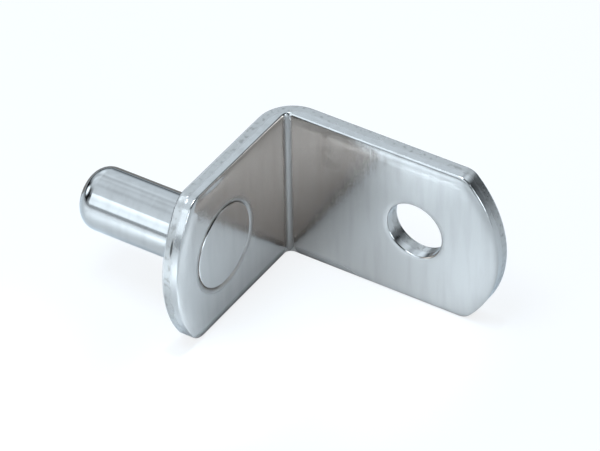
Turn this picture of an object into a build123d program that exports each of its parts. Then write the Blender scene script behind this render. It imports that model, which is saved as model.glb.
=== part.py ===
from build123d import *
import math
import os

# Shelf pin: a bent steel bracket with a round pin riveted through one of its legs. Millimetres.
# The origin is on the pin's axis, where the pin leaves the outer face of the pin leg.
# The pin points along -X, the shelf leg runs along +X and the strip's width is along Z,
# so the bracket stands on the long edges of both legs.

# Strip
strip_thickness = 1.5
strip_width = 13.2
inside_bend_radius = 0.4
outside_bend_radius = 2.9

# Legs, each measured from the outer face of the other leg to the middle of its rounded end
shelf_leg_reach = 19.65
shelf_leg_end_radius = 9.0
shelf_leg_corner_radius = 1.25
pin_leg_reach = 16.2
pin_leg_end_radius = 10.3
pin_leg_corner_radius = 1.8

# Screw hole, with its centre measured from the outer face of the pin leg
screw_hole_diameter = 4.7
screw_hole_reach = 12.5

# Punched edges: the blanking punch drags the face that is later inside the bend over its edges,
# in a curve that is wide along the face and shallow through the strip
rim_roll_width = 1.2
rim_roll_depth = 0.24
hole_roll_width = 0.4
hole_roll_depth = 0.15

# The other side of the strip is only tumbled
outer_rim_radius = 0.1
hole_exit_radius = 0.08

# Pin, with its axis measured from the outer face of the shelf leg
pin_offset = 10.1
pin_diameter = 5.0
pin_length = 10.4
pin_nose_radius = 1.4

# Riveted tenon, spread into a countersink until it is flush with the inner face
tenon_diameter = 4.2
rivet_head_diameter = 7.1
countersink_angle = 100.0
rivet_rim_radius = 0.1
seat_mouth_radius = 0.4

# Lengths closer than this are the same when faces and edges are picked
same_within = 0.001
# How far a cutting shape reaches out of the metal
cutter_overrun = 0.3

half_width = strip_width / 2
pin_radius = pin_diameter / 2
tenon_radius = tenon_diameter / 2
rivet_head_radius = rivet_head_diameter / 2
shelf_face_y = pin_offset
shelf_inner_y = shelf_face_y - strip_thickness
pin_leg_end_y = shelf_face_y - pin_leg_reach
countersink_depth = (rivet_head_radius - tenon_radius) / math.tan(math.radians(countersink_angle / 2))
countersink_start = strip_thickness - countersink_depth

# Each leg's inner face: X runs along the leg from the other leg's outer face, Z out of the metal
shelf_leg_plane = Plane(origin=(0, shelf_inner_y, 0), x_dir=(1, 0, 0), z_dir=(0, -1, 0))
pin_leg_plane = Plane(origin=(strip_thickness, shelf_face_y, 0), x_dir=(0, -1, 0), z_dir=(1, 0, 0))


def direction(angle):
    """The unit vector at an angle in radians from the X axis."""
    return Vector(math.cos(angle), math.sin(angle))


class LegOutline:
    """The upper half of a leg seen square on: straight long edge, eased corner, arc across the end."""

    def __init__(self, reach, end_radius, corner_radius):
        corner_height = half_width - corner_radius
        corner_orbit = end_radius - corner_radius
        self.reach = reach
        self.corner_radius = corner_radius
        self.blend_angle = math.asin(corner_height / corner_orbit)
        self.end_centre = Vector(reach - end_radius, 0)
        self.corner_centre = self.end_centre + direction(self.blend_angle) * corner_orbit

    def face(self):
        """The whole outline, mirrored about the leg's middle line."""
        corner = CenterArc(
            self.corner_centre,
            self.corner_radius,
            math.degrees(self.blend_angle),
            90 - math.degrees(self.blend_angle),
        )
        lower_corner = mirror(corner, about=Plane.XZ)
        end_arc = ThreePointArc(corner @ 0, (self.reach, 0), lower_corner @ 0)
        sides = Polyline(corner @ 1, (0, half_width), (0, -half_width), lower_corner @ 1)
        return make_face([corner, end_arc, lower_corner, sides])


shelf_leg = LegOutline(shelf_leg_reach, shelf_leg_end_radius, shelf_leg_corner_radius)
pin_leg = LegOutline(pin_leg_reach, pin_leg_end_radius, pin_leg_corner_radius)


def bent_strip():
    """The L section with its inside and outside bend, as wide as the strip."""
    section = make_face(
        Polyline(
            (0, pin_leg_end_y),
            (0, shelf_face_y),
            (shelf_leg_reach, shelf_face_y),
            (shelf_leg_reach, shelf_inner_y),
            (strip_thickness, shelf_inner_y),
            (strip_thickness, pin_leg_end_y),
            close=True,
        )
    )
    outside_corner = section.vertices().sort_by_distance((0, shelf_face_y))[0]
    section = fillet(outside_corner, outside_bend_radius)
    inside_corner = section.vertices().sort_by_distance((strip_thickness, shelf_inner_y))[0]
    section = fillet(inside_corner, inside_bend_radius)
    return extrude(Plane.XY.offset(-half_width) * section, amount=strip_width)


def trim_legs(strip):
    """Cuts both ends of the strip to their rounded outlines."""
    strip = strip & extrude(shelf_leg_plane * shelf_leg.face(), amount=shelf_leg_reach, both=True)
    return strip & extrude(pin_leg_plane * pin_leg.face(), amount=shelf_leg_reach, both=True)


def roll_profile(width, depth):
    """What the punch drags away at an edge: X points out of the metal's side, Y out of its face."""
    curve = EllipticalCenterArc((-width, -depth), width, depth, start_angle=0, arc_size=90)
    beyond = Polyline(
        curve @ 0,
        (cutter_overrun, -depth),
        (cutter_overrun, cutter_overrun),
        (-width, cutter_overrun),
        curve @ 1,
    )
    return make_face([curve, beyond])


def leg_rim_cuts(leg, bend_end):
    """The cuts along one leg's rim, in the plane of its inner face, from the bend round its end."""
    profile = roll_profile(rim_roll_width, rim_roll_depth)
    edge_side = Plane(origin=(bend_end, half_width, 0), x_dir=(0, 1, 0), z_dir=(1, 0, 0))
    edge = extrude(edge_side * profile, amount=leg.corner_centre.X - bend_end)
    corner_start = leg.corner_centre + Vector(0, leg.corner_radius)
    corner_side = Plane(origin=corner_start, x_dir=(0, 1, 0), z_dir=(1, 0, 0))
    corner_axis = Axis(leg.corner_centre, (0, 0, -1))
    corner = revolve(corner_side * profile, corner_axis, 90 - math.degrees(leg.blend_angle))
    end_side = Plane(origin=(leg.reach, 0, 0), x_dir=(1, 0, 0), z_dir=(0, -1, 0))
    end = revolve(end_side * profile, Axis(leg.end_centre, (0, 0, 1)), math.degrees(leg.blend_angle))
    upper = [edge, corner, end]
    return upper + [mirror(cut, about=Plane.XZ) for cut in upper]


def bend_rim_cuts():
    """The cuts along the rim inside the bend, above and below."""
    bend_start_y = shelf_inner_y - inside_bend_radius
    side = Plane(origin=(strip_thickness, bend_start_y, half_width), x_dir=(0, 0, 1), z_dir=(0, 1, 0))
    bend_axis = Axis((strip_thickness + inside_bend_radius, bend_start_y, 0), (0, 0, -1))
    upper = revolve(side * roll_profile(rim_roll_width, rim_roll_depth), bend_axis, 90)
    return [upper, mirror(upper, about=Plane.XY)]


def roll_inner_rim(strip):
    """Rolls the whole rim of the punched side over, along both legs and through the bend."""
    bend_end = strip_thickness + inside_bend_radius
    for cut in leg_rim_cuts(shelf_leg, bend_end):
        strip -= shelf_leg_plane * cut
    for cut in leg_rim_cuts(pin_leg, bend_end):
        strip -= pin_leg_plane * cut
    for cut in bend_rim_cuts():
        strip -= cut
    return strip


def ease_outer_rim(strip):
    """Rounds the rim of the strip's outer side: two leg faces and the bend between them."""
    faces = strip.faces()
    outer_side = faces.filter_by(lambda face: abs(face.center().X) < same_within)
    outer_side += faces.filter_by(lambda face: abs(face.center().Y - shelf_face_y) < same_within)
    bends = faces.filter_by(GeomType.CYLINDER)
    outer_side += bends.filter_by(lambda face: abs(face.radius - outside_bend_radius) < same_within)
    side_edges = outer_side.edges()
    rim = [edge for edge in side_edges if sum(edge.is_same(other) for other in side_edges) == 1]
    return strip.fillet(outer_rim_radius, rim)


def screw_hole(bracket):
    """The screw hole through the shelf leg, rolled over where the punch went in."""
    hole_radius = screw_hole_diameter / 2
    drill = Cylinder(hole_radius, 2 * strip_thickness)
    mouth_side = Plane(origin=(hole_radius, 0, 0), x_dir=(-1, 0, 0), z_dir=(0, 1, 0))
    mouth = revolve(mouth_side * roll_profile(hole_roll_width, hole_roll_depth), Axis.Z)
    bracket -= shelf_leg_plane * Pos(screw_hole_reach, 0, -strip_thickness / 2) * drill
    bracket -= shelf_leg_plane * Pos(screw_hole_reach, 0, 0) * mouth
    circles = bracket.edges().filter_by(GeomType.CIRCLE)
    hole_edges = circles.filter_by(lambda edge: abs(edge.radius - hole_radius) < same_within)
    return bracket.fillet(hole_exit_radius, [hole_edges.sort_by(Axis.Y)[-1]])


def rivet_profile():
    """Half the section of the tenon and its spread head, from the outer face to the inner face."""
    return make_face(
        Polyline(
            (0, 0),
            (0, tenon_radius),
            (countersink_start, tenon_radius),
            (strip_thickness, rivet_head_radius),
            (strip_thickness, 0),
            close=True,
        )
    )


def make_bracket():
    """The bent strip with its screw hole and the countersunk seat of the pin."""
    strip = ease_outer_rim(roll_inner_rim(trim_legs(bent_strip())))
    bracket = screw_hole(strip)
    bracket -= revolve(rivet_profile(), Axis.X)
    circles = bracket.edges().filter_by(GeomType.CIRCLE)
    seat_mouth = circles.filter_by(lambda edge: abs(edge.radius - rivet_head_radius) < same_within)
    return bracket.fillet(seat_mouth_radius, seat_mouth)


def make_pin():
    """The turned pin: rounded nose, shank, shoulder and riveted tenon."""
    shank = make_face(
        Polyline((-pin_length, 0), (-pin_length, pin_radius), (0, pin_radius), (0, 0), close=True)
    )
    nose = shank.vertices().sort_by_distance((-pin_length, pin_radius))[0]
    shank = fillet(nose, pin_nose_radius)
    rivet = rivet_profile()
    rim = rivet.vertices().sort_by_distance((strip_thickness, rivet_head_radius))[0]
    rivet = fillet(rim, rivet_rim_radius)
    return revolve(shank + rivet, Axis.X)


os.makedirs("parts", exist_ok=True)
export_step(make_bracket(), "parts/bracket.step")
export_step(make_pin(), "parts/support_pin.step")
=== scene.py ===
# %% [markdown]
# # A shelf pin in bright nickel
# A shelf pin is a small bent steel bracket with a round pin riveted through one of its legs. The
# pin goes into a 5 mm hole in the side of a cabinet, and the other leg carries the shelf. Both
# pieces are already modelled to size, so they are loaded as a fixed frame. What is left is what the
# eye sees: the camera, a pale floor, soft light and the two plated finishes.

# %% Load the measured pieces
import math

import bpy
from mathutils import Matrix, Vector


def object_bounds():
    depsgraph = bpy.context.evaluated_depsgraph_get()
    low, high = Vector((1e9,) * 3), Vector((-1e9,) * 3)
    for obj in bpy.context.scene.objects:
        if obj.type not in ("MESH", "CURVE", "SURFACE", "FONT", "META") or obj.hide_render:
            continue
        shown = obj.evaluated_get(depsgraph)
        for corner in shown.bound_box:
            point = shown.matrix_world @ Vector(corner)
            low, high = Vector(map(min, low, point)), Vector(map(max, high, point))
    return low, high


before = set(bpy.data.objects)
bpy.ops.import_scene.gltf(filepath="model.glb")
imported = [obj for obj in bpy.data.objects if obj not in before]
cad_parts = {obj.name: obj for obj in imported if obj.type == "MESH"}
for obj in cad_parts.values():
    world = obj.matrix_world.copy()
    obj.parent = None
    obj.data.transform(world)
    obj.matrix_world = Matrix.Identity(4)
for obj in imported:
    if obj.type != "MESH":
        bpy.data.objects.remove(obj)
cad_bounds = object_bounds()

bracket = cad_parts["bracket"]
support_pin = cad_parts["support_pin"]
print("loaded", sorted(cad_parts), "from", cad_bounds[0], "to", cad_bounds[1])

# %% [markdown]
# The frame is in metres, but a maker thinks of small hardware in millimetres, so sizes are written
# as a number of mm. Colours are picked as sRGB hex, as a colour chart prints them. A renderer adds
# light up in linear values, so one function turns the hex into those.

# %% Millimetres and colours
mm = 0.001
per_metre = 1 / mm


def linear(hex_colour):
    """An sRGB hex colour as linear red, green, blue and full alpha."""
    channels = [int(hex_colour[i:i + 2], 16) / 255 for i in (1, 3, 5)]
    return [c / 12.92 if c <= 0.04045 else ((c + 0.055) / 1.055) ** 2.4 for c in channels] + [1.0]


print("mid grey is", [round(c, 3) for c in linear("#808080")])

# %% [markdown]
# Materials and the sky are both trees of nodes. One helper adds a node, sets its options, and for
# each input either sets a value or links another node's output. Each tree below then reads like a
# recipe. A Math node's inputs have the numbers 0, 1 and 2, and its MULTIPLY_ADD gives input 0 times
# input 1, plus input 2. A Mix node has separate sockets for numbers and for colours, and those for
# colours are reached by their places, which are named here.

# %% One helper for every node
mix_factor, first_colour, second_colour = 0, 6, 7
mixed_colour = 2


def add_node(tree, kind, inputs=None, **settings):
    """Adds a node with its settings. An input is given a value, or a socket to link it to."""
    node = tree.nodes.new("ShaderNode" + kind)
    for name, value in settings.items():
        setattr(node, name, value)
    for name, value in (inputs or {}).items():
        if isinstance(value, bpy.types.NodeSocket):
            tree.links.new(value, node.inputs[name])
        else:
            node.inputs[name].default_value = value
    return node


def empty_material(name):
    """A material whose tree has no nodes yet, and that tree."""
    material = bpy.data.materials.new(name)
    material.use_nodes = True
    material.node_tree.nodes.clear()
    return material, material.node_tree


# %% [markdown]
# The photograph looks down into the inside corner through a long lens from about 40 cm: the far
# edges are hardly shorter than the near ones. The angles, the distance and the point aimed at were
# found by fitting the bracket's outline to the picture, and here they are set as a photographer
# would.

# %% Lens
picture_width = 600
pixels_per_mm = 13.402
camera_distance = 386.7

lens = bpy.data.cameras.new("camera")
lens.sensor_width = 36.0
lens.lens = lens.sensor_width * pixels_per_mm * camera_distance / picture_width
lens.clip_start = 10 * mm
lens.clip_end = 10000 * mm
print("lens", round(lens.lens), "mm on a", lens.sensor_width, "mm sensor")

# %% Camera directions
camera_azimuth = math.radians(33.14)
camera_elevation = math.radians(39.04)
camera_roll = math.radians(-1.14)

towards_camera = Vector((
    math.sin(camera_azimuth) * math.cos(camera_elevation),
    -math.cos(camera_azimuth) * math.cos(camera_elevation),
    math.sin(camera_elevation),
))
level_right = Vector((math.cos(camera_azimuth), math.sin(camera_azimuth), 0.0))
level_up = towards_camera.cross(level_right)
picture_right = level_right * math.cos(camera_roll) + level_up * math.sin(camera_roll)
picture_up = level_up * math.cos(camera_roll) - level_right * math.sin(camera_roll)
print("the camera looks along", [round(-v, 3) for v in towards_camera])

# %% Camera
inside_corner = Vector((1.5, 8.6, 0.0))
corner_right_of_middle = -0.911
corner_above_middle = 3.170

middle = inside_corner - picture_right * corner_right_of_middle - picture_up * corner_above_middle
camera = bpy.data.objects.new("camera", lens)
bpy.context.scene.collection.objects.link(camera)
bpy.context.scene.camera = camera
turned = Matrix((picture_right, picture_up, towards_camera)).transposed().to_4x4()
camera.matrix_world = Matrix.Translation((middle + towards_camera * camera_distance) * mm) @ turned
print("camera stands at", [round(v, 4) for v in camera.location])

# %% [markdown]
# The bracket stands on the long edges of both legs on a sheet of white card. Bright metal has
# little colour of its own, and what it shows is the card and the lights. So the card ends a hand's
# width in front, as it does on a small product table, and the metal mirrors the dimmer room past
# its edge. To the camera the card is nearly as bright as paper can be, with only a trace of shadow.

# %% Card sheet


def sheet(name, left, right, front, back, height):
    """A flat sheet that belongs to the studio and not to the part. Its sides are in mm."""
    mesh = bpy.data.meshes.new(name)
    corners = [(left, front), (right, front), (right, back), (left, back)]
    mesh.from_pydata([(x * mm, y * mm, 0.0) for x, y in corners], [], [range(4)])
    holder = bpy.data.objects.new(name, mesh)
    bpy.context.scene.collection.objects.link(holder)
    holder.location.z = cad_bounds[0].z + height * mm
    print(name, "lies at", round(holder.location.z / mm, 2), "mm")
    return holder


card = sheet("card", -80, 110, -80, 110, 0.0)

# %% Card material
card_shadow = 0.2

white_card, tree = empty_material("matt_white_card")
matt = add_node(tree, "BsdfDiffuse", {"Color": linear("#F2F2F2")})
bright = add_node(tree, "Emission", {"Color": linear("#FFFFFF")})
ray = add_node(tree, "LightPath")
evenly_lit = add_node(tree, "Math", {0: ray.outputs["Is Camera Ray"], 1: 1 - card_shadow},
                      operation="MULTIPLY")
both = add_node(tree, "MixShader", {
    0: evenly_lit.outputs[0], 1: matt.outputs[0], 2: bright.outputs[0],
})
add_node(tree, "OutputMaterial", {"Surface": both.outputs[0]})
card.data.materials.append(white_card)
print(white_card.name, "keeps", card_shadow, "of its shadows")

# %% [markdown]
# A grey sheet behind the pin is painted shade: it stands in for the shaded card there, and the
# metal mirrors it as the dark line along the pin's back. Only the metal sees it: the camera and the
# light on the card do not.

# %% Painted shade behind the pin
shade_sheet_above_card = 0.05

# The sheet's grey is painted shade, mirrored as the dark line along the pin's back.
painted_shade_material, tree = empty_material("matt_painted_shade_sheet")
matt = add_node(tree, "BsdfDiffuse", {"Color": linear("#9A8E84")})
add_node(tree, "OutputMaterial", {"Surface": matt.outputs[0]})
painted_shade_sheet = sheet("painted_shade_behind_pin", -80, -1, 4, 110, shade_sheet_above_card)
painted_shade_sheet.data.materials.append(painted_shade_material)
painted_shade_sheet.visible_camera = False
painted_shade_sheet.visible_diffuse = False
painted_shade_sheet.visible_shadow = False

# %% [markdown]
# Nickel mirrors the whole studio, so the light is planned as what each face will mirror. The sky is
# a dark room with soft round glows in it, like lamps behind a tent. Those on the left and behind
# are what the top edges and the upper side of the pin show. One strong glow stands low on the
# right: the rolled rim at the end of the shelf leg mirrors it, and some of it falls on the card.
# The strengths came from one render for each light, and from working out the mix that comes closest
# to the photograph. Daylight is a little blue, and the nickel's own warmth shows only where one leg
# is mirrored in the other.

# %% Directions and daylight
daylight = (0.76, 1.0, 1.22)


def direction(azimuth, elevation):
    """Where a light stands, in degrees: azimuth 0 is in front, -90 on the left, 90 on the right."""
    azimuth = math.radians(azimuth)
    elevation = math.radians(elevation)
    level = math.cos(elevation)
    return Vector((math.sin(azimuth) * level, -math.cos(azimuth) * level, math.sin(elevation)))


print("a light on the left stands at", [round(v, 3) for v in direction(-90, 0)])

# %% Empty studio
studio = bpy.data.worlds.new("studio")
bpy.context.scene.world = studio
studio.use_nodes = True
bpy.context.scene.view_settings.view_transform = "Standard"
tree = studio.node_tree
tree.nodes.clear()
looking = add_node(tree, "TexCoord").outputs["Generated"]
looking_parts = add_node(tree, "SeparateXYZ", {0: looking})
print("the picture is shown with", bpy.context.scene.view_settings.view_transform)

# %% Glows in the sky


def sky_glow(azimuth, elevation, spread, radiance):
    """A round glow that fades to nothing at its spread, in degrees."""
    nearness = add_node(tree, "VectorMath", {0: looking, 1: direction(azimuth, elevation)},
                        operation="DOT_PRODUCT")
    glow = add_node(tree, "MapRange", {
        "Value": nearness.outputs["Value"],
        "From Min": math.cos(math.radians(spread)), "From Max": 1.0,
        "To Min": 0.0, "To Max": radiance,
    }, interpolation_type="SMOOTHSTEP")
    return glow.outputs[0]


glows = [
    sky_glow(-120, 68, 30, 0.32),
    sky_glow(-135, 52, 16, 0.82),
    sky_glow(-180, 48, 28, 0.76),
    sky_glow(-90, 48, 28, 1.31),
    sky_glow(-30, 48, 28, 1.42),
    sky_glow(150, 48, 28, 0.82),
    sky_glow(-150, 28, 26, 1.22),
    sky_glow(-120, 28, 26, 1.03),
    sky_glow(-75, 18, 14, 3.19),
    sky_glow(-30, 8, 22, 0.66),
    sky_glow(0, 8, 22, 1.65),
    sky_glow(60, 8, 22, 8.00),
    sky_glow(120, 8, 22, 0.43),
]
sky = glows[0]
for glow in glows[1:]:
    sky = add_node(tree, "Math", {0: sky, 1: glow}, operation="ADD").outputs[0]
print(len(glows), "glows in the sky")

# %% [markdown]
# Below the horizon lies the floor of the room, lit evenly and more dimly than the card. It is what
# the metal mirrors past the card's edge. The horizon is a soft step, as the far side of a room is.
# The camera itself sees plain white there, as it would a wall behind the table.

# %% Horizon
floor_of_room = 0.66

horizon = add_node(tree, "MapRange", {
    "Value": looking_parts.outputs["Z"], "From Min": -0.02, "From Max": 0.06,
}, interpolation_type="SMOOTHSTEP")
room = add_node(tree, "Mix", {"Factor": horizon.outputs[0], "A": floor_of_room, "B": sky})
lit_room = add_node(tree, "Background", {"Color": (*daylight, 1.0), "Strength": room.outputs[0]})
white_wall = add_node(tree, "Background", {"Color": linear("#FFFFFF")})
ray = add_node(tree, "LightPath")
seen = add_node(tree, "MixShader", {
    0: ray.outputs["Is Camera Ray"], 1: lit_room.outputs[0], 2: white_wall.outputs[0],
})
add_node(tree, "OutputWorld", {"Surface": seen.outputs[0]})
print("the room's floor glows with", floor_of_room)

# %% [markdown]
# Two panels stand side by side in front, like a window. The pin mirrors the left one as its long
# white streak, and the rolled rims of both legs mirror the right one. A third hangs overhead. It
# lights the card, and much of what the inner faces show is that light.

# %% Light panels


def light_panel(name, azimuth, elevation, distance, width, height, radiance):
    """A flat glowing panel that faces the bracket. Angles in degrees, lengths in mm."""
    panel = bpy.data.lights.new(name, "AREA")
    panel.shape = "RECTANGLE"
    panel.size = width * mm
    panel.size_y = height * mm
    panel.color = daylight
    panel.energy = radiance * math.pi * panel.size * panel.size_y
    holder = bpy.data.objects.new(name, panel)
    bpy.context.scene.collection.objects.link(holder)
    towards = direction(azimuth, elevation)
    holder.location = towards * distance * mm
    holder.rotation_euler = towards.to_track_quat("Z", "Y").to_euler()
    print(name, "stands at", [round(v, 3) for v in holder.location])


light_panel("window_panel", -10, 22, 110, 40, 63, 1.11)
light_panel("side_window_panel", -30, 22, 110, 40, 63, 1.63)
light_panel("overhead_panel", -20, 80, 150, 70, 70, 9.07)

# %% [markdown]
# Seen from above, the inner faces of both legs mirror the card in front of them and not the sky. So
# small lamps straight above the card light soft pools on it. Each pool shows as a lighter place on
# the leg that mirrors it, and where there is none the leg stays dark.

# %% Pools of light
lamp_height = 150
lamp_radius = 4


def card_spot(name, x, y, pool_radius, watts):
    """A lamp straight above the card that lights a soft round pool on it. Lengths in mm."""
    lamp = bpy.data.lights.new(name, "SPOT")
    lamp.energy = watts
    lamp.color = daylight
    lamp.spot_size = 2 * math.atan(pool_radius / lamp_height)
    lamp.spot_blend = 1.0
    lamp.shadow_soft_size = lamp_radius * mm
    holder = bpy.data.objects.new(name, lamp)
    bpy.context.scene.collection.objects.link(holder)
    holder.location = (x * mm, y * mm, card.location.z + lamp_height * mm)
    print(name, "lights", 2 * pool_radius, "mm of card")


card_spot("front_left_spot", -22, -30, 22, 0.68)
card_spot("near_pin_spot", -12, -14, 9, 0.73)
card_spot("front_spot", -4, -24, 14, 1.20)
card_spot("near_end_spot", 5, -8, 6, 1.57)
card_spot("beside_rivet_spot", 5, -3, 6, 0.09)
card_spot("inside_corner_spot", 7, 2, 6, 0.21)
card_spot("under_hole_spot", 14, 0, 9, 0.57)
card_spot("shelf_foot_spot", 16, 6, 5, 0.61)

# %% [markdown]
# Both pieces are steel that was tumbled in a barrel of bright nickel bath: a hard mirror coat about
# a hundredth of a millimetre thick that copies whatever is under it. A metal's own colour tints
# what it mirrors, so nickel is a warm grey here, and its IOR stays as it is. New nickel mirrors
# about six tenths of the light. This plate was matched to the photograph, which is darker in the
# inside corner, where the light is mirrored twice, and it mirrors a little under half. A low
# roughness gives clear but slightly soft reflections. The plate is never quite even: where it is
# thinner it is a shade darker, in streaks that follow the lines of the belt the steel was ground on.

# %% Nickel
nickel = "#BBAFA6"
thin_nickel = "#A69A91"
strip_gloss = 0.17
pin_gloss = 0.13


def plate(name):
    """A new nickel material: its tree, its shader, and the place on the piece in millimetres."""
    material, tree = empty_material(name)
    shader = add_node(tree, "BsdfPrincipled", {"Metallic": 1.0})
    add_node(tree, "OutputMaterial", {"Surface": shader.outputs[0]})
    metres = add_node(tree, "TexCoord").outputs["Object"]
    place = add_node(tree, "VectorMath", {0: metres, "Scale": per_metre}, operation="SCALE")
    return material, tree, shader, place.outputs[0]


print("nickel mirrors", [round(c, 2) for c in linear(nickel)[:3]], "of the light")

# %% Streaks where the plate is thinner
streak_width = 0.77
streak_length = 6.25
streak_strength = 0.4


def streaked_nickel(tree, place):
    """The colour of nickel with darker streaks along the strip's width."""
    grain = add_node(tree, "VectorMath", {
        0: place, 1: (1 / streak_width, 1 / streak_width, 1 / streak_length),
    }, operation="MULTIPLY")
    streaks = add_node(tree, "TexNoise", {"Vector": grain.outputs[0], "Scale": 1.0, "Detail": 3.0})
    thin = add_node(tree, "MapRange", {
        "Value": streaks.outputs[0], "From Min": 0.45, "From Max": 0.75, "To Max": streak_strength,
    })
    colour = add_node(tree, "Mix", {
        mix_factor: thin.outputs[0],
        first_colour: linear(nickel), second_colour: linear(thin_nickel),
    }, data_type="RGBA")
    return colour.outputs[mixed_colour]


print("streaks are", streak_width, "mm wide and", streak_length, "mm long")

# %% [markdown]
# The strip's edges were sheared, not polished. The punch leaves a smooth burnished band next to the
# side it came from and a grainy torn band behind it. To find the bands, the tree works out how deep
# a point lies in the strip: round the bend that is a distance from the bend's centre, and along
# both legs the same formula gives the distance from the outer face.

# %% Strip: depth below the outer faces
outside_bend_radius = 2.9
strip_thickness = 1.5

strip_plate, tree, shader, place = plate("barrel_plated_nickel_on_belted_strip")
shelf_face = cad_bounds[1].y / mm
from_bend = add_node(tree, "VectorMath", {
    0: place, 1: (-1.0, 1.0, 0.0),
    2: (outside_bend_radius, outside_bend_radius - shelf_face, 0.0),
}, operation="MULTIPLY_ADD")
past_bend = add_node(tree, "VectorMath", {0: from_bend.outputs[0]}, operation="MAXIMUM")
radius = add_node(tree, "VectorMath", {0: past_bend.outputs[0]}, operation="LENGTH")
depth = add_node(tree, "Math", {0: outside_bend_radius, 1: radius.outputs["Value"]},
                 operation="SUBTRACT")
print("the shelf leg's outer face lies at", round(shelf_face, 2), "mm")

# %% Strip: torn band on the sheared edges
torn_band_end = 0.5 * strip_thickness
ragged_size = 0.9
ragged_depth = 0.35

ragged_noise = add_node(tree, "TexNoise", {
    "Vector": place, "Scale": 1 / ragged_size, "Detail": 3.0,
})
ragged = add_node(tree, "Math", {
    0: ragged_noise.outputs[0], 1: ragged_depth, 2: depth.outputs[0],
}, operation="MULTIPLY_ADD")
band_start = add_node(tree, "MapRange", {
    "Value": depth.outputs[0], "From Min": 0.06, "From Max": 0.16,
})
band_end = add_node(tree, "MapRange", {
    "Value": ragged.outputs[0], "From Min": torn_band_end + 0.1, "From Max": torn_band_end + 0.25,
    "To Min": 1.0, "To Max": 0.0,
})
torn = add_node(tree, "Math", {0: band_start.outputs[0], 1: band_end.outputs[0]},
                operation="MULTIPLY")
print("the torn band ends about", torn_band_end, "mm deep")

# %% [markdown]
# Plating throws thinly into narrow places, so the plate turns dull in the inside bend, along the
# foot where the rolled rim meets the sheared edge, and round the mouth of the pin's seat. The brown
# laid
# on there is painted shade: in the bend, along the foot where the bracket stands on the card, and in
# a spot on the end of the pin leg beside the pin. Round the seat's mouth, where polish and dust
# collect, it is dirt and painted shade together. The torn band has dull pits. Each of these is a
# mask from 0 to 1, and the strongest one counts.

# %% Strip: inside the bend
# The brown in the bend is painted shade in the inside corner; its added roughness is the duller
# plate there.
inside_bend_radius = 0.4
bend_dullness_and_shade = 0.6

from_corner = add_node(tree, "VectorMath", {
    0: place, 1: (1.0, -1.0, 0.0), 2: (-strip_thickness, shelf_face - strip_thickness, 0.0),
}, operation="MULTIPLY_ADD")
corner_parts = add_node(tree, "SeparateXYZ", {0: from_corner.outputs[0]})
from_pin_leg, from_shelf_leg = corner_parts.outputs["X"], corner_parts.outputs["Y"]
farther = add_node(tree, "Math", {0: from_pin_leg, 1: from_shelf_leg}, operation="MAXIMUM")
nearer = add_node(tree, "Math", {0: from_pin_leg, 1: from_shelf_leg}, operation="MINIMUM")
near_bend = add_node(tree, "MapRange", {
    "Value": farther.outputs[0],
    "From Min": inside_bend_radius - 0.04, "From Max": inside_bend_radius + 0.06,
    "To Min": bend_dullness_and_shade, "To Max": 0.0,
})
on_surface = add_node(tree, "Math", {0: nearer.outputs[0], 1: -0.03}, operation="GREATER_THAN")
painted_bend_shade = add_node(tree, "Math", {0: near_bend.outputs[0], 1: on_surface.outputs[0]},
                   operation="MULTIPLY")
print("the bend is dull for", inside_bend_radius, "mm along each leg")

# %% Strip: along the foot
# Painted shade: the rolled rim along the foot is darkened where the bracket stands on the card, most
# on the pin leg.
foot = cad_bounds[0].z / mm
roll_depth = 0.24

place_parts = add_node(tree, "SeparateXYZ", {0: place})
near_foot = add_node(tree, "MapRange", {
    "Value": place_parts.outputs["Z"], "From Min": foot + 0.15, "From Max": foot + 0.9,
    "To Min": 1.0, "To Max": 0.0,
})
pin_leg_most = add_node(tree, "MapRange", {
    "Value": place_parts.outputs["X"], "From Min": 1.6, "From Max": 9.0,
    "To Min": 1.0, "To Max": 0.15,
})
near_foot = add_node(tree, "Math", {0: near_foot.outputs[0], 1: pin_leg_most.outputs[0]},
                     operation="MULTIPLY")
rolled = add_node(tree, "Math", {0: depth.outputs[0], 1: strip_thickness - 1.2 * roll_depth},
                  operation="GREATER_THAN")
painted_foot_shade = add_node(tree, "Math", {0: near_foot.outputs[0], 1: rolled.outputs[0]},
                   operation="MULTIPLY")
print("the foot stands at", round(foot, 2), "mm")

# %% Strip: mouth of the pin's seat
# Dust and painted shade darken the groove round the seat's mouth.
seat_mouth_radius = 3.72
mouth_dullness_and_shade = 0.45

across_leg = add_node(tree, "VectorMath", {0: place, 1: (0.0, 1.0, 1.0)}, operation="MULTIPLY")
from_axis = add_node(tree, "VectorMath", {0: across_leg.outputs[0]}, operation="LENGTH")
near_mouth = add_node(tree, "MapRange", {
    "Value": from_axis.outputs["Value"],
    "From Min": seat_mouth_radius, "From Max": seat_mouth_radius + 0.2,
    "To Min": mouth_dullness_and_shade, "To Max": 0.0,
})
inner_half = add_node(tree, "Math", {0: depth.outputs[0], 1: strip_thickness / 2},
                      operation="GREATER_THAN")
mouth_dirt_and_shade = add_node(tree, "Math", {0: near_mouth.outputs[0], 1: inner_half.outputs[0]},
                    operation="MULTIPLY")
print("the seat's mouth is", 2 * seat_mouth_radius, "mm across")

# %% Strip: pits in the torn band
pit_size = 0.35
pit_dullness = 0.4

speckle = add_node(tree, "TexNoise", {"Vector": place, "Scale": 1 / pit_size, "Detail": 1.0})
pits = add_node(tree, "MapRange", {
    "Value": speckle.outputs[0], "From Min": 0.56, "From Max": 0.72, "To Max": pit_dullness,
})
pits = add_node(tree, "Math", {0: pits.outputs[0], 1: torn.outputs[0]}, operation="MULTIPLY")
print("pits are about", pit_size, "mm wide")

# %% Strip: painted shade on the end of the pin leg
# A dark spot on the pin leg's end, beside the pin, is painted shade: it stands in for the shaded
# card under the pin, which this edge mirrors.
end_shade_depth = 0.60
end_shade_height = 3.2
end_shade_half_width = 0.12
end_shade_half_length = 0.85

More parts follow.
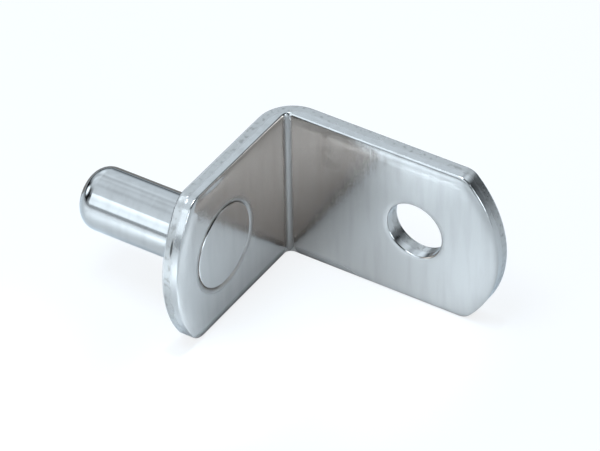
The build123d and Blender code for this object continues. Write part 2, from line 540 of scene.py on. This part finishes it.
end_shade_offset = add_node(tree, "VectorMath", {
    0: place, 1: (1 / end_shade_half_width, 0.0, 1 / end_shade_half_length),
    2: (-end_shade_depth / end_shade_half_width, 0.0, -end_shade_height / end_shade_half_length),
}, operation="MULTIPLY_ADD")
from_end_shade = add_node(tree, "VectorMath", {0: end_shade_offset.outputs[0]}, operation="LENGTH")
near_end_shade = add_node(tree, "MapRange", {
    "Value": from_end_shade.outputs["Value"], "From Min": 0.5, "From Max": 1.0,
    "To Min": 1.2, "To Max": 0.0,
})
at_leg_end = add_node(tree, "Math", {0: place_parts.outputs["Y"], 1: -4.0}, operation="LESS_THAN")
painted_end_shade = add_node(tree, "Math", {0: near_end_shade.outputs[0], 1: at_leg_end.outputs[0]},
                   operation="MULTIPLY")
print("the tear is", 2 * end_shade_half_length, "mm long")

# %% Strip: pits, dirt and painted shade together
dull_and_shaded_places = [painted_bend_shade, painted_foot_shade, pits, painted_end_shade, mouth_dirt_and_shade]
pits_dirt_and_painted_shade = dull_and_shaded_places[0]
for one_place in dull_and_shaded_places[1:]:
    pits_dirt_and_painted_shade = add_node(tree, "Math", {0: pits_dirt_and_painted_shade.outputs[0], 1: one_place.outputs[0]},
                     operation="MAXIMUM")
print(len(dull_and_shaded_places), "kinds of dull place")

# %% [markdown]
# The colours are laid on in the order in which they came about: the streaked plate, the slightly
# darker plate on the torn band, and last the brown of the pits and dirt and of the painted shade,
# which never covers the plate fully.

# %% Strip: colour
torn_nickel = "#B1A59C"
grime_and_painted_shade_brown = "#5A524C"
grime_and_shade_cover = 0.75

torn_colour = add_node(tree, "Mix", {
    mix_factor: torn.outputs[0],
    first_colour: streaked_nickel(tree, place), second_colour: linear(torn_nickel),
}, data_type="RGBA")
# The brown is dirt in the pits and the seat's mouth, and painted shade in the bend, along the foot
# and on the leg's end.
grime_and_shade = add_node(tree, "Math", {0: pits_dirt_and_painted_shade.outputs[0], 1: grime_and_shade_cover}, operation="MULTIPLY")
colour = add_node(tree, "Mix", {
    mix_factor: grime_and_shade.outputs[0],
    first_colour: torn_colour.outputs[mixed_colour], second_colour: linear(grime_and_painted_shade_brown),
}, data_type="RGBA")
tree.links.new(colour.outputs[mixed_colour], shader.inputs["Base Color"])
print("grime covers", grime_and_shade_cover, "of the plate at most")

# %% [markdown]
# A mirror coat hides nothing: the strip's slight waves from the rolling mill, the dents from the
# barrel and the lines of the grinding belt all bend what it mirrors. A bump map is enough for them,
# as none is deeper than a few hundredths of a millimetre. Real belt lines are about 0.05 mm wide,
# finer than the picture can show, so they are drawn about seven times as wide.

# %% Strip: relief under the plate
wave_size, wave_height = 3.2, 0.030
belt_line_width, belt_line_length, belt_line_height = 1 / 3, 11.1, 0.0025
dent_size, dent_height = 0.8, 0.012
torn_grain_size, torn_grain_height = 0.25, 0.020

waves = add_node(tree, "TexNoise", {"Vector": place, "Scale": 1 / wave_size, "Detail": 1.0})
belt_grain = add_node(tree, "VectorMath", {
    0: place, 1: (1 / belt_line_width, 1 / belt_line_width, 1 / belt_line_length),
}, operation="MULTIPLY")
belt_lines = add_node(tree, "TexNoise", {
    "Vector": belt_grain.outputs[0], "Scale": 1.0, "Detail": 4.0,
})
dents = add_node(tree, "TexNoise", {"Vector": place, "Scale": 1 / dent_size, "Detail": 2.0})
torn_grain = add_node(tree, "TexNoise", {
    "Vector": place, "Scale": 1 / torn_grain_size, "Detail": 2.0,
})
grain_here = add_node(tree, "Math", {0: torn_grain.outputs[0], 1: torn.outputs[0]},
                      operation="MULTIPLY")
print("waves", wave_size, "mm, dents", dent_size, "mm, torn grain", torn_grain_size, "mm")

# %% Strip: heights added up
height = add_node(tree, "Math", {0: waves.outputs[0], 1: wave_height}, operation="MULTIPLY")
layers = ((belt_lines, belt_line_height), (dents, dent_height), (grain_here, torn_grain_height))
for layer, amount in layers:
    height = add_node(tree, "Math", {0: layer.outputs[0], 1: amount, 2: height.outputs[0]},
                      operation="MULTIPLY_ADD")
relief = add_node(tree, "Bump", {"Height": height.outputs[0], "Distance": mm, "Strength": 1.0})
tree.links.new(relief.outputs[0], shader.inputs["Normal"])
print(1 + len(layers), "layers of relief")

# %% [markdown]
# Handling leaves the plate a little clearer in one place and duller in the next, so its roughness
# drifts in soft clouds. The torn band is rougher, and the dull places are rougher still, so they
# mirror nothing clearly.

# %% Strip: gloss
cloud_size = 1.6
gloss_drift = 0.03
torn_roughness = 0.12
seam_roughness = 0.45

clouds = add_node(tree, "TexNoise", {"Vector": place, "Scale": 1 / cloud_size, "Detail": 3.0})
roughness = add_node(tree, "MapRange", {
    "Value": clouds.outputs[0], "From Min": 0.3, "From Max": 0.7,
    "To Min": strip_gloss - gloss_drift, "To Max": strip_gloss + gloss_drift,
})
for mask, amount in ((torn, torn_roughness), (pits_dirt_and_painted_shade, seam_roughness)):
    roughness = add_node(tree, "Math", {0: mask.outputs[0], 1: amount, 2: roughness.outputs[0]},
                         operation="MULTIPLY_ADD")
tree.links.new(roughness.outputs[0], shader.inputs["Roughness"])
bracket.data.materials.clear()
bracket.data.materials.append(strip_plate)
print("the bracket is finished in", strip_plate.name)

# %% [markdown]
# The pin was turned from round bar, so its lines run round it. Its spread head, past the middle of
# the strip's thickness, was ground flush by the same belt as the strip. Its lines run as they do
# there, drawn coarser still so that the head shows in the strip. Turning lines are a tenth of a
# millimetre apart or less, and are drawn twice as wide.

# %% Pin: relief and gloss
lathe_line_width, lathe_line_length, lathe_line_height = 0.2, 5.0, 0.0020
head_line_width, head_line_length, head_line_height = 0.625, 8.3, 0.008
head_depth = 10.0
head_start = 1.2

pin_plate, tree, shader, place = plate("barrel_plated_nickel_on_turned_pin")
place_parts = add_node(tree, "SeparateXYZ", {0: place})
along_pin = place_parts.outputs["X"]
lathe_grain = add_node(tree, "VectorMath", {
    0: place, 1: (1 / lathe_line_width, 1 / lathe_line_length, 1 / lathe_line_length),
}, operation="MULTIPLY")
lathe_lines = add_node(tree, "TexNoise", {
    "Vector": lathe_grain.outputs[0], "Scale": 1.0, "Detail": 3.0,
})
belt_grain = add_node(tree, "VectorMath", {
    0: place, 1: (1 / head_depth, 1 / head_line_width, 1 / head_line_length),
}, operation="MULTIPLY")
belt_lines = add_node(tree, "TexNoise", {
    "Vector": belt_grain.outputs[0], "Scale": 1.0, "Detail": 4.0,
})
print("lathe lines are", lathe_line_width, "mm wide")

# %% Pin: shank and head
on_head = add_node(tree, "Math", {0: along_pin, 1: head_start}, operation="GREATER_THAN")
lathe_height = add_node(tree, "Math", {0: lathe_lines.outputs[0], 1: lathe_line_height},
                        operation="MULTIPLY")
belt_height = add_node(tree, "Math", {0: belt_lines.outputs[0], 1: head_line_height},
                       operation="MULTIPLY")
height = add_node(tree, "Mix", {
    "Factor": on_head.outputs[0], "A": lathe_height.outputs[0], "B": belt_height.outputs[0],
})
relief = add_node(tree, "Bump", {"Height": height.outputs[0], "Distance": mm, "Strength": 1.0})
tree.links.new(relief.outputs[0], shader.inputs["Normal"])
gloss = add_node(tree, "Mix", {"Factor": on_head.outputs[0], "A": pin_gloss, "B": strip_gloss})
tree.links.new(gloss.outputs[0], shader.inputs["Roughness"])
print("the head starts", head_start, "mm into the strip")

# %% [markdown]
# Where the pin leaves the leg there is a sharp inner corner, and a narrow ring of the same brown is
# painted there as shade between the two parts.

# %% Pin: colour
root_ring_width = 0.45
root_shade_cover = 0.85
inside_strip = 0.5

# Painted shade: a brown ring on the pin next to the leg.
at_root = add_node(tree, "MapRange", {
    "Value": along_pin, "From Min": -root_ring_width, "From Max": -0.1, "To Max": root_shade_cover,
})
off_head = add_node(tree, "Math", {0: along_pin, 1: inside_strip}, operation="LESS_THAN")
painted_root_shade = add_node(tree, "Math", {0: at_root.outputs[0], 1: off_head.outputs[0]},
                      operation="MULTIPLY")
colour = add_node(tree, "Mix", {
    mix_factor: painted_root_shade.outputs[0],
    first_colour: streaked_nickel(tree, place), second_colour: linear(grime_and_painted_shade_brown),
}, data_type="RGBA")
tree.links.new(colour.outputs[mixed_colour], shader.inputs["Base Color"])
support_pin.data.materials.clear()
support_pin.data.materials.append(pin_plate)
print("the pin is finished in", pin_plate.name)
